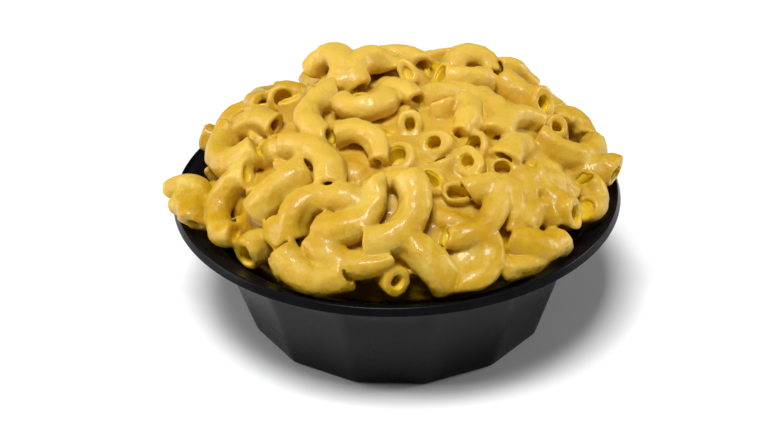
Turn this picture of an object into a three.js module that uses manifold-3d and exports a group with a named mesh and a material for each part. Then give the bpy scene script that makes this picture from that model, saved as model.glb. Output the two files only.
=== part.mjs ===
// Mac and cheese: elbow macaroni in cheese sauce, heaped up in the black plastic bowl it is served in.
// Millimetres, +Z up. The origin is the middle of the bowl's flat base, and -Y is the front.
// Two solids: the bowl, and the heap, which is a smooth core with the noodles that show fused on it.

import * as THREE from 'three';
import { mergeVertices } from 'three/addons/utils/BufferGeometryUtils.js';
import Module from 'manifold-3d';

const wasm = await Module();
wasm.setup();

// ---------- driving dimensions ----------

const rimRadius = 82.5;
const bowlHeight = 51;
const facetCount = 14;
const facetTurn = -4; // degrees that the flat at the front is turned about +Z
const baseRadius = 57.3; // to the corners between the flats
const wallTopRadius = 70.8;
const wallTop = 44.8; // height at which the flats have died out into the round
const wallThickness = 1.25;
const flangeInner = 71.8; // where the sloping flange starts
const lipDepth = 2.8; // turned-down edge of the rim
const bowlSides = 4 * facetCount;

const heapMiddle = [1.5, 4]; // the heap's highest point stands a little behind the bowl's middle
const heapTop = 90.3;
const heapFall = 38.5; // drop from the top to the reach below
const heapReach = 80;
const heapPower = 2.87; // how flat the dome's top is
const coreDepth = 9.4; // from the noodles' tops down to the core
const coreSides = 24;
const coreRings = 6; // in its domed top
const coreInset = 1; // from the bowl's corner to the core's foot
const coreRise = [1.2, 3]; // outward and up, past the wall's top
const coreShare = 0.97; // of the core's radius, where its domed top begins
const gap = 0.4; // kept between the food and the bowl

const noodleRadius = [4.7, 6];
const noodleLength = [27, 33]; // along the middle of the tube
const boreShare = 0.42; // bore radius over noodle radius
const boreDepth = 3.5; // how far a bore is cut in
const ballCount = 7; // balls along a noodle, for the tests of what it touches
const endInset = 0.55; // of the radius, from a cut end to the nearest ball's middle
const rimPoints = 8; // points round each cut end, for the same tests
const stepIn = 0.997; // a noodle in the bowl's way is scaled in by this and lifted, step by step
const stepUp = 0.4;
const fillReach = rimRadius - 1.5; // the filling noodles end short of the rim
const standing = 0.2; // share of them that point up out of the heap

// Noodles that lie in full view, by the middle of their bend: x, y, lift over the dome, the direction that
// the bend opens to, its tip (0 lies flat, -90 arches over with both ends down), its tilt, its sweep and its
// length, and 1 where its far end is open in view.
const laidNoodles = [
  // front, left to right
  [-63, -28, 1, -15, 0, 0, 190, 38],
  [-31, -66, 1.5, 65, -10, 0, 100, 29],
  [-17, -65, 0.5, 75, -15, 0, 90, 29],
  [43, -62, -2, 115, -20, 0, 50, 17],
  [9, -68, 1.5, -135, -75, 0, 100, 27],
  [29, -67, 1.5, 145, -10, 0, 150, 23],
  [25, -60, -3.5, -95, -20, 0, 85, 18],
  [47, -54, 1, 95, -40, 0, 80, 22],
  [-34, -46, 1, -40, -30, 0, 105, 21],
  [-21, -46, 0, -100, -45, 0, 45, 16],
  [-13, -55, 1, 125, -10, 0, 145, 30],
  [4, -57, 3, 150, -15, 0, 140, 34],
  [30, -54, 1.5, 138, -15, 0, 110, 33],
  [32, -42, 0.5, -90, -50, 0, 70, 16],
  [40, -48, 0, 180, -60, 0, 50, 14],
  [48, -42, -0.5, -80, -10, 0, 120, 18],
  [43, -37, -0.5, 180, -90, 0, 60, 14],
  // the left side
  [-41, -36, 1.5, 120, -75, 0, 40, 24],
  [-41, -50, -0.5, 35, -30, 0, 55, 14],
  [-62, -9, 2.5, 35, -5, 0, 140, 38],
  [-73, -17, 5.5, -145, 15, 15, 160, 27],
  [-74, -26, 11, -150, 0, 0, 80, 15],
  [-51, 5, 0.5, -130, -40, 0, 40, 26],
  [-62, 30, 1.5, -90, -60, 0, 80, 20],
  [-52, 32, 1.5, 0, -30, 0, 60, 20],
  // the middle
  [-26, -29, 1, -145, -15, 0, 95, 32],
  [-41, -18, -1, -100, -50, 0, 60, 18],
  [-10, -24, 1, -135, -25, 0, 130, 26],
  [-31, -7, 1.5, -5, -15, 0, 145, 35],
  [-10, -9, 1.5, 95, -10, 0, 175, 25],
  [26, -12, 1, 175, -40, 0, 75, 20],
  [36, -6, 0, -170, -20, 0, 80, 25],
  [42, -5, 0, -45, -30, 0, 110, 28],
  // the right side and the top
  [72, -24, -1.5, 170, 0, 0, 155, 19],
  [66, -8, 0.5, 115, -10, 15, 145, 34],
  [68, -11, -1, 103, 180, 54, 65, 23, 1],
  [52, -36, 0, 40, 90, 18, 60, 23, 1],
  [47, 17, 0.5, 50, 135, 8, 60, 23, 1],
  [67, 20, 3, -80, -30, -10, 140, 18],
  [60, 42, 0, -130, -50, 0, 100, 28],
  [44, 44, 0, -110, -60, 0, 100, 28],
  [28, 14, 1, 100, -20, 0, 50, 17],
  [30, 40, 5, -80, -60, -10, 170, 24],
  [47, 38, 4, -60, -80, 0, 60, 16],
  [-20, 27, 7, -155, -45, 10, 165, 32],
  [-11, 25, 4.5, -45, -45, -5, 165, 27],
  // lower ones between them
  [20, 5, -1, -85, -35, 0, 80, 24],
  [1, -41, -3.5, -100, -30, 0, 90, 20],
  [54, -29, -1.5, -80, -25, 0, 90, 20],
  // the back, as far as it shows
  [43, 52, 2, -100, -60, 0, 140, 28],
  [30, 56, 2, -90, -80, 0, 120, 28],
  [-1, 56, 0, -60, -60, 0, 120, 28],
];

// Noodles that look out of the heap with an open end, by that end: x, y, lift, the direction that it faces
// and its angle of rise.
const openEnds = [
  [-1, -71, 0.5, -65, 10],
  [20, -46, 0, -85, 45],
  [24, -34, 1, -125, 50],
  [0, -33, 0, -140, 60],
  [12, -42, -1, -60, 60],
  [36, -34, 0, -90, 45],
  [37, -30, 1, -115, -15],
  [59, 3, 0, -100, 40],
  [8, -3, 1, -50, -15],
  [5, -18, 0, -90, 40],
  [13, -27, 0, -120, 40],
  [27, -25, -1, -120, 40],
  [-41, 16, 0.5, -80, 30],
  [-44, 27, 2, 110, 55],
  [-53, -49, 0, -130, -10],
  [-74, 20, 8, 160, 15],
  [18, 50, 5, 90, 60],
  [-43, -58, -2, -150, -5],
];

// The noodles that fill the gaps, set by set: how many places are tried, how deep under the dome the
// noodle may come to rest, how far it presses into the others, and its length.
const fillSets = [
  { tries: 1500, depth: [-2, 4], bite: 1.6, length: [25, 32] },
  { tries: 1500, depth: [2, 6.5], bite: 2.4, length: [18, 26] },
  { tries: 1500, depth: [4, 9], bite: 3.2, length: [12, 20] },
  { tries: 1500, depth: [6, 11], bite: 4.5, length: [11, 17] },
];
const fusedDepth = 5; // those that lie deeper are hardly in sight
const curled = { sides: 7, steps: 4, bored: false };
const mouthed = { sides: 6, steps: 3, bored: true };
const plain = { sides: 5, steps: 2, bored: false };

const plastic = new THREE.MeshStandardMaterial({ color: 0x1d1d20, roughness: 0.35, metalness: 0 });
const cheese = new THREE.MeshStandardMaterial({ color: 0xe6b53c, roughness: 0.4, metalness: 0 });

// ---------- helpers ----------

const radians = THREE.MathUtils.degToRad;
const weld = 1e-3; // vertices closer than this are one

function merged(geometry) {
  geometry.deleteAttribute('normal');
  geometry.deleteAttribute('uv');
  const joined = mergeVertices(geometry, weld);
  const index = joined.index.array;
  const kept = [];
  for (let i = 0; i < index.length; i += 3) {
    const [a, b, c] = [index[i], index[i + 1], index[i + 2]];
    if (a !== b && b !== c && c !== a) kept.push(a, b, c);
  }
  joined.setIndex(kept);
  return joined;
}

function solid(geometry) {
  const { position } = geometry.attributes;
  return new wasm.Manifold(
    new wasm.Mesh({
      numProp: 3,
      vertProperties: new Float32Array(position.array),
      triVerts: new Uint32Array(geometry.index.array),
    }),
  );
}

function geometryOf(manifold) {
  const mesh = manifold.getMesh();
  const geometry = new THREE.BufferGeometry();
  geometry.setAttribute('position', new THREE.BufferAttribute(mesh.vertProperties, 3));
  geometry.setIndex(new THREE.BufferAttribute(mesh.triVerts, 1));
  return geometry;
}

// A lathe about +Z whose outline is listed from the bottom of its axis, round its outside, to the top of its
// axis. Every vertex is passed to place(point, row), which may move it.
function turned(outline, sides, start, place) {
  const points = outline.map(([radius, height]) => new THREE.Vector2(radius, height));
  const lathe = new THREE.LatheGeometry(points, sides, start);
  lathe.rotateX(Math.PI / 2);
  const { position } = lathe.attributes;
  const point = new THREE.Vector3();
  for (let i = 0; i < position.count; i++) {
    point.fromBufferAttribute(position, i);
    place(point, i % outline.length);
    position.setXYZ(i, point.x, point.y, point.z);
  }
  return merged(lathe);
}

// ---------- bowl ----------

// Each row is radius, height, and how round the ring is: 0 has the flats, 1 is a circle.
function bowlOutline() {
  const rise = (wallTopRadius - baseRadius) / wallTop;
  const fade = 0.78 * wallTop; // the flats start to fade out here
  const fadeRadius = baseRadius + rise * fade;
  const under = bowlHeight - lipDepth;
  return [
    [0, 0, 0],
    [baseRadius - 1, 0, 0],
    [baseRadius, 1, 0],
    [fadeRadius, fade, 0],
    [wallTopRadius, wallTop, 1],
    [rimRadius - 1.6, under - 0.1, 1],
    [rimRadius, under, 1],
    [rimRadius, bowlHeight - 0.9, 1],
    [rimRadius - 1.2, bowlHeight, 1],
    [rimRadius - 2.2, bowlHeight - 1.3, 1],
    [rimRadius - 2.9, bowlHeight - 1, 1],
    [(flangeInner + rimRadius - 2.9) / 2, bowlHeight - 3.3, 1],
    [flangeInner, bowlHeight - 5, 1],
    [wallTopRadius - wallThickness, wallTop - 1, 1],
    [fadeRadius - wallThickness, fade, 0],
    [baseRadius - wallThickness, wallThickness + 1, 0],
    [baseRadius - wallThickness - 1, wallThickness, 0],
    [0, wallThickness, 0],
  ];
}

function bowlGeometry() {
  const outline = bowlOutline();
  const facet = (2 * Math.PI) / facetCount;
  const start = radians(facetTurn) + facet / 2;
  return turned(outline, bowlSides, start, (point, row) => {
    const angle = Math.atan2(point.x, -point.y) - start;
    const across = angle - facet * (Math.floor(angle / facet) + 0.5);
    const flat = Math.cos(facet / 2) / Math.cos(across);
    const scale = THREE.MathUtils.lerp(flat, 1, outline[row][2]);
    point.x *= scale;
    point.y *= scale;
  });
}

// ---------- the heap's dome and the room that the bowl leaves ----------

function domeHeight(x, y) {
  const r = Math.hypot(x - heapMiddle[0], y - heapMiddle[1]);
  return heapTop - heapFall * (r / heapReach) ** heapPower;
}

function domeNormal(x, y) {
  const [dx, dy] = [x - heapMiddle[0], y - heapMiddle[1]];
  const r = Math.max(Math.hypot(dx, dy), 1e-9);
  const slope = (heapFall * heapPower * (r / heapReach) ** (heapPower - 1)) / heapReach;
  return new THREE.Vector3((slope * dx) / r, (slope * dy) / r, 1).normalize();
}

// The upper side of the bowl at the middle of its flats, as radius and height.
const flatShare = Math.cos(Math.PI / facetCount);
const wallInside = [
  [0, wallThickness],
  [(baseRadius - wallThickness) * flatShare, wallThickness],
  [(wallTopRadius - wallThickness) * flatShare - 0.5, wallTop - 1],
  [flangeInner, bowlHeight - 5],
  [rimRadius - 2.9, bowlHeight - 1],
  [rimRadius - 1.2, bowlHeight],
  [rimRadius, bowlHeight - 0.9],
  [rimRadius, bowlHeight - lipDepth],
];

// Distance from a point to the bowl, negative where the point is under its upper side.
function roomAt(point) {
  const r = Math.hypot(point.x, point.y);
  let nearest = Infinity;
  let surface = bowlHeight - lipDepth;
  for (let i = 1; i < wallInside.length; i++) {
    const [r0, z0] = wallInside[i - 1];
    const [r1, z1] = wallInside[i];
    const [dr, dz] = [r1 - r0, z1 - z0];
    const along = ((r - r0) * dr + (point.z - z0) * dz) / (dr * dr + dz * dz);
    const t = Math.min(1, Math.max(0, along));
    nearest = Math.min(nearest, Math.hypot(r - r0 - t * dr, point.z - z0 - t * dz));
    if (r >= r0 && r < r1) surface = z0 + (dz * (r - r0)) / dr;
  }
  return point.z > surface ? nearest : -nearest;
}

function coreGeometry() {
  const wall = (wallTopRadius - wallThickness) * flatShare - 0.5 - gap;
  const outline = [
    [0, wallThickness + gap],
    [(baseRadius - wallThickness) * flatShare - gap - coreInset, wallThickness + gap],
    [wall, wallTop - 1],
    [wall + coreRise[0], wallTop + coreRise[1]],
  ];
  const wallRows = outline.length;
  for (let ring = coreRings; ring >= 0; ring--) outline.push([(coreShare * wall * ring) / coreRings, 0]);
  return turned(outline, coreSides, 0, (point, row) => {
    if (row >= wallRows) point.z = domeHeight(point.x, point.y) - coreDepth;
  });
}

// ---------- noodles ----------

// Evenly spread numbers, the same in every run.
const largest = 2147483647;
let seed = 7;
function draw(low, high) {
  seed = (seed * 48271) % largest;
  return low + ((high - low) * seed) / largest;
}

const up = new THREE.Vector3(0, 0, 1);
const mix = (a, b, angle) => a.clone().multiplyScalar(Math.cos(angle)).addScaledVector(b, Math.sin(angle));

// A noodle is an arc: its point at an angle a from start is start + inward R (1 - cos a) + ahead R sin a.
// Its directions are measured from the upright it is given: the dome's normal, or straight up.
function noodleAt({ x, y, lift = 0, upright, opens, tip, tilt, sweep, length, anchor = 0 }) {
  const east = new THREE.Vector3(1, 0, 0).addScaledVector(upright, -upright.x).normalize();
  const north = new THREE.Vector3().crossVectors(upright, east);
  const flatAhead = mix(east, north, radians(opens - 90));
  const side = new THREE.Vector3().crossVectors(upright, flatAhead);
  const ahead = mix(flatAhead, upright, radians(tilt));
  const above = mix(upright, flatAhead, -radians(tilt));
  const inward = mix(side, above, radians(tip));
  const radius = draw(...noodleRadius);
  const angle = radians(sweep);
  return {
    ahead,
    inward,
    across: new THREE.Vector3().crossVectors(ahead, inward),
    start: new THREE.Vector3(x, y, domeHeight(x, y) - radius + lift),
    bend: length / angle,
    first: (-0.5 - anchor) * angle,
    last: (0.5 - anchor) * angle,
    radius,
    length,
  };
}

function arcPoint(noodle, angle) {
  const { start, inward, ahead, bend } = noodle;
  return start
    .clone()
    .addScaledVector(inward, bend * (1 - Math.cos(angle)))
    .addScaledVector(ahead, bend * Math.sin(angle));
}

function ballsOf(noodle) {
  const inset = (endInset * noodle.radius) / noodle.bend;
  const [first, last] = [noodle.first + inset, noodle.last - inset];
  return Array.from({ length: ballCount }, (_, i) =>
    arcPoint(noodle, first + ((last - first) * i) / (ballCount - 1)),
  );
}

const crossDirection = (noodle, angle, turn) =>
  mix(mix(noodle.inward, noodle.ahead, -angle), noodle.across, turn);

// The edges of a noodle's two cut ends.
function rimsOf(noodle) {
  const { first, last, radius } = noodle;
  return [first, last].flatMap((angle) =>
    Array.from({ length: rimPoints }, (_, i) =>
      arcPoint(noodle, angle).addScaledVector(
        crossDirection(noodle, angle, (2 * Math.PI * i) / rimPoints),
        radius,
      ),
    ),
  );
}

function roomLeft(noodle) {
  const wall = Math.min(...ballsOf(noodle).map(roomAt)) - noodle.radius;
  return Math.min(wall, ...rimsOf(noodle).map(roomAt)) - gap;
}

// Moves a noodle up and in until it is clear of the bowl.
function clearOfBowl(noodle) {
  while (roomLeft(noodle) < 0) {
    noodle.start.multiply(new THREE.Vector3(stepIn, stepIn, 1));
    noodle.start.z += stepUp;
  }
  return noodle;
}

// Sinks a noodle from the dome, along the dome's normal, until it is clear of those already laid.
// Returns how deep it went.
function sink(noodle, normal, laid, bite) {
  const balls = ballsOf(noodle);
  const above = Math.max(
    ...balls.map((b) => (b.z - domeHeight(b.x, b.y) + noodle.radius) * normal.z),
  );
  const top = draw(-1, 1.5) - above;
  const spans = [];
  for (const other of laid) {
    const reach = (noodle.radius + other.radius - bite) ** 2;
    for (const q of other.balls) {
      for (const b of balls) {
        const d = b.clone().sub(q);
        const along = d.dot(normal);
        const half = along * along - d.lengthSq() + reach;
        if (half > 0) spans.push([-along - Math.sqrt(half), -along + Math.sqrt(half)]);
      }
    }
  }
  let level = top;
  let hit = true;
  while (hit) {
    hit = false;
    for (const [low, high] of spans) {
      if (low < level && level < high) {
        level = low;
        hit = true;
      }
    }
  }
  noodle.start.addScaledVector(normal, level);
  return top - level;
}

function layNoodles() {
  const laid = [];
  const keep = (noodle, look) => laid.push({ ...noodle, ...look, balls: ballsOf(noodle) });
  for (const [x, y, lift, opens, tip, tilt, sweep, length, open] of laidNoodles) {
    const noodle = noodleAt({ x, y, lift, upright: domeNormal(x, y), opens, tip, tilt, sweep, length });
    keep(clearOfBowl(noodle), open ? mouthed : curled);
  }
  for (const [x, y, lift, faces, rise] of openEnds) {
    const bend = { opens: faces + 90, tip: -90, tilt: rise, sweep: 90, length: draw(...noodleLength) };
    keep(clearOfBowl(noodleAt({ x, y, lift, upright: up, ...bend, anchor: 0.5 })), mouthed);
  }
  for (const { tries, depth, bite, length } of fillSets) {
    for (let i = 0; i < tries; i++) {
      const r = fillReach * Math.sqrt(draw(0, 1));
      const way = draw(0, 2 * Math.PI);
      const [x, y] = [r * Math.cos(way), r * Math.sin(way)];
      const upright = domeNormal(x, y);
      const opens = draw(0, 360);
      const tip = draw(-35, 35) + [0, 0, -90, 90][Math.floor(draw(0, 4))];
      const tilt = draw(0, 1) < standing ? draw(35, 75) : draw(-15, 15);
      const sweep = draw(90, 165) * (length[1] / fillSets[0].length[1]);
      const bend = { opens, tip, tilt, sweep, length: draw(...length) };
      const noodle = noodleAt({ x, y, upright, ...bend });
      const sunk = sink(noodle, upright, laid, bite);
      const outermost = Math.max(...ballsOf(noodle).map((ball) => Math.hypot(ball.x, ball.y)));
      const rests = sunk > depth[0] && sunk < depth[1];
      if (rests && roomLeft(noodle) > 0 && outermost < fillReach) keep(noodle, { ...plain, sunk });
    }
  }
  return laid;
}

// A straight turned piece, bent along the noodle's arc. A bored one has a blind bore in the end that shows.
function noodleGeometry(noodle) {
  const { radius, length, bend, first, last, sides, steps, bored } = noodle;
  const bore = boreShare * radius;
  const half = length / 2;
  const wall = Array.from({ length: steps + 1 }, (_, i) => [radius, -half + (length * i) / steps]);
  const cut = bored ? [[bore, half], [bore, half - boreDepth], [0, half - boreDepth]] : [[0, half]];
  const outline = [[0, -half], ...wall, ...cut];
  return turned(outline, sides, 0, (point) => {
    const angle = (first + last) / 2 + point.z / bend;
    const [out, turn] = [Math.hypot(point.x, point.y), Math.atan2(point.y, point.x)];
    point.copy(arcPoint(noodle, angle)).addScaledVector(crossDirection(noodle, angle, turn), out);
  });
}

const shells = (manifold) => manifold.decompose().sort((a, b) => b.volume() - a.volume());

// The core and its noodles as one body. What fusing seals is filled, and a scrap that touches nothing is
// dropped. Welding close vertices can seal a little more, so it is done again until one shell is left.
function heapGeometry() {
  const whole = layNoodles()
    .filter(({ sunk = 0 }) => sunk < fusedDepth)
    .map((noodle) => solid(noodleGeometry(noodle)))
    .reduce((sum, piece) => sum.add(piece), solid(coreGeometry()));
  let bodies = shells(whole);
  let geometry;
  do {
    geometry = merged(geometryOf(bodies[0]));
    bodies = shells(solid(geometry));
  } while (bodies.length > 1);
  return geometry;
}

// ---------- assembly ----------

const bowl = new THREE.Mesh(bowlGeometry(), plastic);
bowl.name = 'bowl';
const macaroni = new THREE.Mesh(heapGeometry(), cheese);
macaroni.name = 'macaroni';

const macAndCheese = new THREE.Group();
macAndCheese.add(bowl, macaroni);

export default macAndCheese;
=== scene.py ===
"""Elbow macaroni in cheese sauce, heaped in its black bowl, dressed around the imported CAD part.

The noodles lie where the CAD solid has them: the same rows and the same seeded rule are repeated here.
Three pieces replace the two CAD nodes: the bowl, the pasta tubes, and the sauce that coats and joins them.
Lengths are in millimetres and angles in degrees unless a comment says otherwise. The photo looks along +Y.
"""

import math

import bpy
import numpy as np
from mathutils import Matrix, Vector


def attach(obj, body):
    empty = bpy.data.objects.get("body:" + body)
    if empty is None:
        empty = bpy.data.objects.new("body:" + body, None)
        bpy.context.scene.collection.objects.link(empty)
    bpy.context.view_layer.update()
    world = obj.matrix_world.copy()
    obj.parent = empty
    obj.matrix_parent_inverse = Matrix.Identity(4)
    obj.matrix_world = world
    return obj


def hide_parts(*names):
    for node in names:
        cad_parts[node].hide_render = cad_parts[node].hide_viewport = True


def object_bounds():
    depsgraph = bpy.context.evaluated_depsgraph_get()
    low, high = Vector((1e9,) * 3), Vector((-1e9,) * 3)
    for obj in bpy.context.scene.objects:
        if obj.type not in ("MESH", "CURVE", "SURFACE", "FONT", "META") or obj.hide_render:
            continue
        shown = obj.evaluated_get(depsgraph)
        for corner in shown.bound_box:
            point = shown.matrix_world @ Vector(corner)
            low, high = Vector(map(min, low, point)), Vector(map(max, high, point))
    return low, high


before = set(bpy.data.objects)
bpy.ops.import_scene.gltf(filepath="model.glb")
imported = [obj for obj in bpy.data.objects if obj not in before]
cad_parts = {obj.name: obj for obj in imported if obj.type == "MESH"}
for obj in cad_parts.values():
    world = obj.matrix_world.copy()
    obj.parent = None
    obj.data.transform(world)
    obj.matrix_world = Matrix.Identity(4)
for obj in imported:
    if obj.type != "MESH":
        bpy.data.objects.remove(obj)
cad_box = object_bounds()
MM = 0.001
TURN = 2 * math.pi

# ---------------------------------------------------------------- camera, at the photograph's viewing angle

SENSOR = 36
PHOTO_WIDTH = 770  # pixels
FOCAL_PIXELS = 1462
CAMERA_TARGET = (-4.55, 0, 34.3)
CAMERA_DISTANCE = 550
CAMERA_ELEVATION = 31.83
CAMERA_ROLL = -1.43


def make_camera():
    data = bpy.data.cameras.new("camera")
    data.lens = FOCAL_PIXELS / PHOTO_WIDTH * SENSOR
    data.sensor_width = SENSOR
    camera = bpy.data.objects.new("camera", data)
    bpy.context.scene.collection.objects.link(camera)
    bpy.context.scene.camera = camera
    elevation, roll = math.radians(CAMERA_ELEVATION), math.radians(CAMERA_ROLL)
    ahead = Vector((0, math.cos(elevation), -math.sin(elevation)))
    level = Vector((1, 0, 0))
    upward = level.cross(ahead)
    right = level * math.cos(roll) + upward * math.sin(roll)
    above = upward * math.cos(roll) - level * math.sin(roll)
    place = (Vector(CAMERA_TARGET) - ahead * CAMERA_DISTANCE) * MM
    camera.matrix_world = Matrix.Translation(place) @ Matrix((right, above, -ahead)).transposed().to_4x4()


make_camera()

# ---------------------------------------------------------------- sizes shared with the CAD source

RIM_RADIUS = 82.5
BOWL_HEIGHT = 51
FACETS = 14
FACET_TURN = -4  # that the flat at the front is turned about +Z
BASE_RADIUS = 57.3  # to the corners between the flats
WALL_TOP_RADIUS = 70.8
WALL_TOP = 44.8  # height at which the flats have died out into the round
WALL = 1.25
FLANGE_INNER = 71.8  # where the sloping flange starts
LIP = 2.8  # turned-down edge of the rim
MIDDLE = (1.5, 4)  # the heap's highest point stands a little behind the bowl's middle
HEAP_TOP = 90.3
HEAP_FALL = 38.5  # drop from the top to the reach below
HEAP_REACH = 80
HEAP_POWER = 2.87  # how flat the dome's top is
GAP = 0.4  # kept between the food and the bowl
NOODLE_RADIUS = (4.7, 6)
NOODLE_LENGTH = (27, 33)  # along the middle of the tube
BALLS = 7  # along a noodle, for the tests of what it touches
END_INSET = 0.55  # of the radius, from a cut end to the nearest ball's middle
RIM_POINTS = 8  # round each cut end, for the same tests
STEP_IN = 0.997  # a noodle in the bowl's way is scaled in by this and lifted, step by step
STEP_UP = 0.4

# x, y, lift over the dome, the direction that the bend opens to, its tip, its tilt, its sweep and its length,
# and 1 where its far end is open in view
LAID_NOODLES = (
    # front, left to right
    (-63, -28, 1, -15, 0, 0, 190, 38),
    (-31, -66, 1.5, 65, -10, 0, 100, 29),
    (-17, -65, 0.5, 75, -15, 0, 90, 29),
    (43, -62, -2, 115, -20, 0, 50, 17),
    (9, -68, 1.5, -135, -75, 0, 100, 27),
    (29, -67, 1.5, 145, -10, 0, 150, 23),
    (25, -60, -3.5, -95, -20, 0, 85, 18),
    (47, -54, 1, 95, -40, 0, 80, 22),
    (-34, -46, 1, -40, -30, 0, 105, 21),
    (-21, -46, 0, -100, -45, 0, 45, 16),
    (-13, -55, 1, 125, -10, 0, 145, 30),
    (4, -57, 3, 150, -15, 0, 140, 34),
    (30, -54, 1.5, 138, -15, 0, 110, 33),
    (32, -42, 0.5, -90, -50, 0, 70, 16),
    (40, -48, 0, 180, -60, 0, 50, 14),
    (48, -42, -0.5, -80, -10, 0, 120, 18),
    (43, -37, -0.5, 180, -90, 0, 60, 14),
    # the left side
    (-41, -36, 1.5, 120, -75, 0, 40, 24),
    (-41, -50, -0.5, 35, -30, 0, 55, 14),
    (-62, -9, 2.5, 35, -5, 0, 140, 38),
    (-73, -17, 5.5, -145, 15, 15, 160, 27),
    (-74, -26, 11, -150, 0, 0, 80, 15),
    (-51, 5, 0.5, -130, -40, 0, 40, 26),
    (-62, 30, 1.5, -90, -60, 0, 80, 20),
    (-52, 32, 1.5, 0, -30, 0, 60, 20),
    # the middle
    (-26, -29, 1, -145, -15, 0, 95, 32),
    (-41, -18, -1, -100, -50, 0, 60, 18),
    (-10, -24, 1, -135, -25, 0, 130, 26),
    (-31, -7, 1.5, -5, -15, 0, 145, 35),
    (-10, -9, 1.5, 95, -10, 0, 175, 25),
    (26, -12, 1, 175, -40, 0, 75, 20),
    (36, -6, 0, -170, -20, 0, 80, 25),
    (42, -5, 0, -45, -30, 0, 110, 28),
    # the right side and the top
    (72, -24, -1.5, 170, 0, 0, 155, 19),
    (66, -8, 0.5, 115, -10, 15, 145, 34),
    (68, -11, -1, 103, 180, 54, 65, 23, 1),
    (52, -36, 0, 40, 90, 18, 60, 23, 1),
    (47, 17, 0.5, 50, 135, 8, 60, 23, 1),
    (67, 20, 3, -80, -30, -10, 140, 18),
    (60, 42, 0, -130, -50, 0, 100, 28),
    (44, 44, 0, -110, -60, 0, 100, 28),
    (28, 14, 1, 100, -20, 0, 50, 17),
    (30, 40, 5, -80, -60, -10, 170, 24),
    (47, 38, 4, -60, -80, 0, 60, 16),
    (-20, 27, 7, -155, -45, 10, 165, 32),
    (-11, 25, 4.5, -45, -45, -5, 165, 27),
    # lower ones between them
    (20, 5, -1, -85, -35, 0, 80, 24),
    (1, -41, -3.5, -100, -30, 0, 90, 20),
    (54, -29, -1.5, -80, -25, 0, 90, 20),
    # the back, as far as it shows
    (43, 52, 2, -100, -60, 0, 140, 28),
    (30, 56, 2, -90, -80, 0, 120, 28),
    (-1, 56, 0, -60, -60, 0, 120, 28),
)

# by the open end: x, y, lift, the direction that it faces and its angle of rise
OPEN_ENDS = (
    (-1, -71, 0.5, -65, 10),
    (20, -46, 0, -85, 45),
    (24, -34, 1, -125, 50),
    (0, -33, 0, -140, 60),
    (12, -42, -1, -60, 60),
    (36, -34, 0, -90, 45),
    (37, -30, 1, -115, -15),
    (59, 3, 0, -100, 40),
    (8, -3, 1, -50, -15),
    (5, -18, 0, -90, 40),
    (13, -27, 0, -120, 40),
    (27, -25, -1, -120, 40),
    (-41, 16, 0.5, -80, 30),
    (-44, 27, 2, 110, 55),
    (-53, -49, 0, -130, -10),
    (-74, 20, 8, 160, 15),
    (18, 50, 5, 90, 60),
    (-43, -58, -2, -150, -5),
)
OPEN_TIP = -90  # from its open end, such a noodle bends straight down into the heap
OPEN_SWEEP = 90

# the noodles that fill the heap: tries, depth under the dome, how far they press into the others, length
FILL_SETS = (
    (1500, (-2, 4), 1.6, (25, 32)),
    (1500, (2, 6.5), 2.4, (18, 26)),
    (1500, (4, 9), 3.2, (12, 20)),
    (1500, (6, 11), 4.5, (11, 17)),
)
LONGEST_FILL = FILL_SETS[0][3][1]
FILL_REACH = RIM_RADIUS - 1.5  # they end short of the rim
FILL_TIP = (-35, 35)
FILL_TURNS = (0, 0, -90, 90)  # added to the tip: half of them lie flat and the others stand on edge
FILL_TILT = (-15, 15)
FILL_SWEEP = (90, 165)
STANDING = 0.2  # share of them that point up out of the heap
STANDING_TILT = (35, 75)
SINK_FROM = (-1, 1.5)  # height over the dome from which one starts to sink

# ---------------------------------------------------------------- the noodles' layout, as in the CAD source

LARGEST = 2147483647
MULTIPLIER = 48271
seed = 7


def draw(low, high):
    """The next number of the seeded sequence, between low and high."""
    global seed
    seed = seed * MULTIPLIER % LARGEST
    return low + (high - low) * seed / LARGEST


def dome(x, y):
    """Height of the heap's smooth envelope."""
    r = np.hypot(x - MIDDLE[0], y - MIDDLE[1])
    return HEAP_TOP - HEAP_FALL * (r / HEAP_REACH) ** HEAP_POWER


def dome_slope(r):
    return HEAP_FALL * HEAP_POWER * (r / HEAP_REACH) ** (HEAP_POWER - 1) / HEAP_REACH


def dome_normal(x, y):
    dx, dy = x - MIDDLE[0], y - MIDDLE[1]
    r = max(math.hypot(dx, dy), 1e-9)
    slope = dome_slope(r)
    normal = np.array([slope * dx / r, slope * dy / r, 1.0])
    return normal / np.linalg.norm(normal)


FLAT_SHARE = math.cos(math.pi / FACETS)
# radius and height of the bowl's upper side and lip, in the middle of its flats
WALL_INSIDE = (
    (0, WALL),
    ((BASE_RADIUS - WALL) * FLAT_SHARE, WALL),
    ((WALL_TOP_RADIUS - WALL) * FLAT_SHARE - 0.5, WALL_TOP - 1),
    (FLANGE_INNER, BOWL_HEIGHT - 5),
    (RIM_RADIUS - 2.9, BOWL_HEIGHT - 1),
    (RIM_RADIUS - 1.2, BOWL_HEIGHT),
    (RIM_RADIUS, BOWL_HEIGHT - 0.9),
    (RIM_RADIUS, BOWL_HEIGHT - LIP),
)


def room(points):
    """Distance to the bowl, negative under its upper side."""
    r, z = np.hypot(points[:, 0], points[:, 1]), points[:, 2]
    nearest = np.full(len(points), 1e9)
    upper_side = np.full(len(points), float(BOWL_HEIGHT - LIP))
    for (r0, z0), (r1, z1) in zip(WALL_INSIDE, WALL_INSIDE[1:]):
        dr, dz = r1 - r0, z1 - z0
        t = np.clip(((r - r0) * dr + (z - z0) * dz) / (dr * dr + dz * dz), 0, 1)
        nearest = np.minimum(nearest, np.hypot(r - r0 - t * dr, z - z0 - t * dz))
        if dr > 0:
            upper_side = np.where((r >= r0) & (r < r1), z0 + dz * (r - r0) / dr, upper_side)
    return np.where(z > upper_side, nearest, -nearest)


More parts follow.
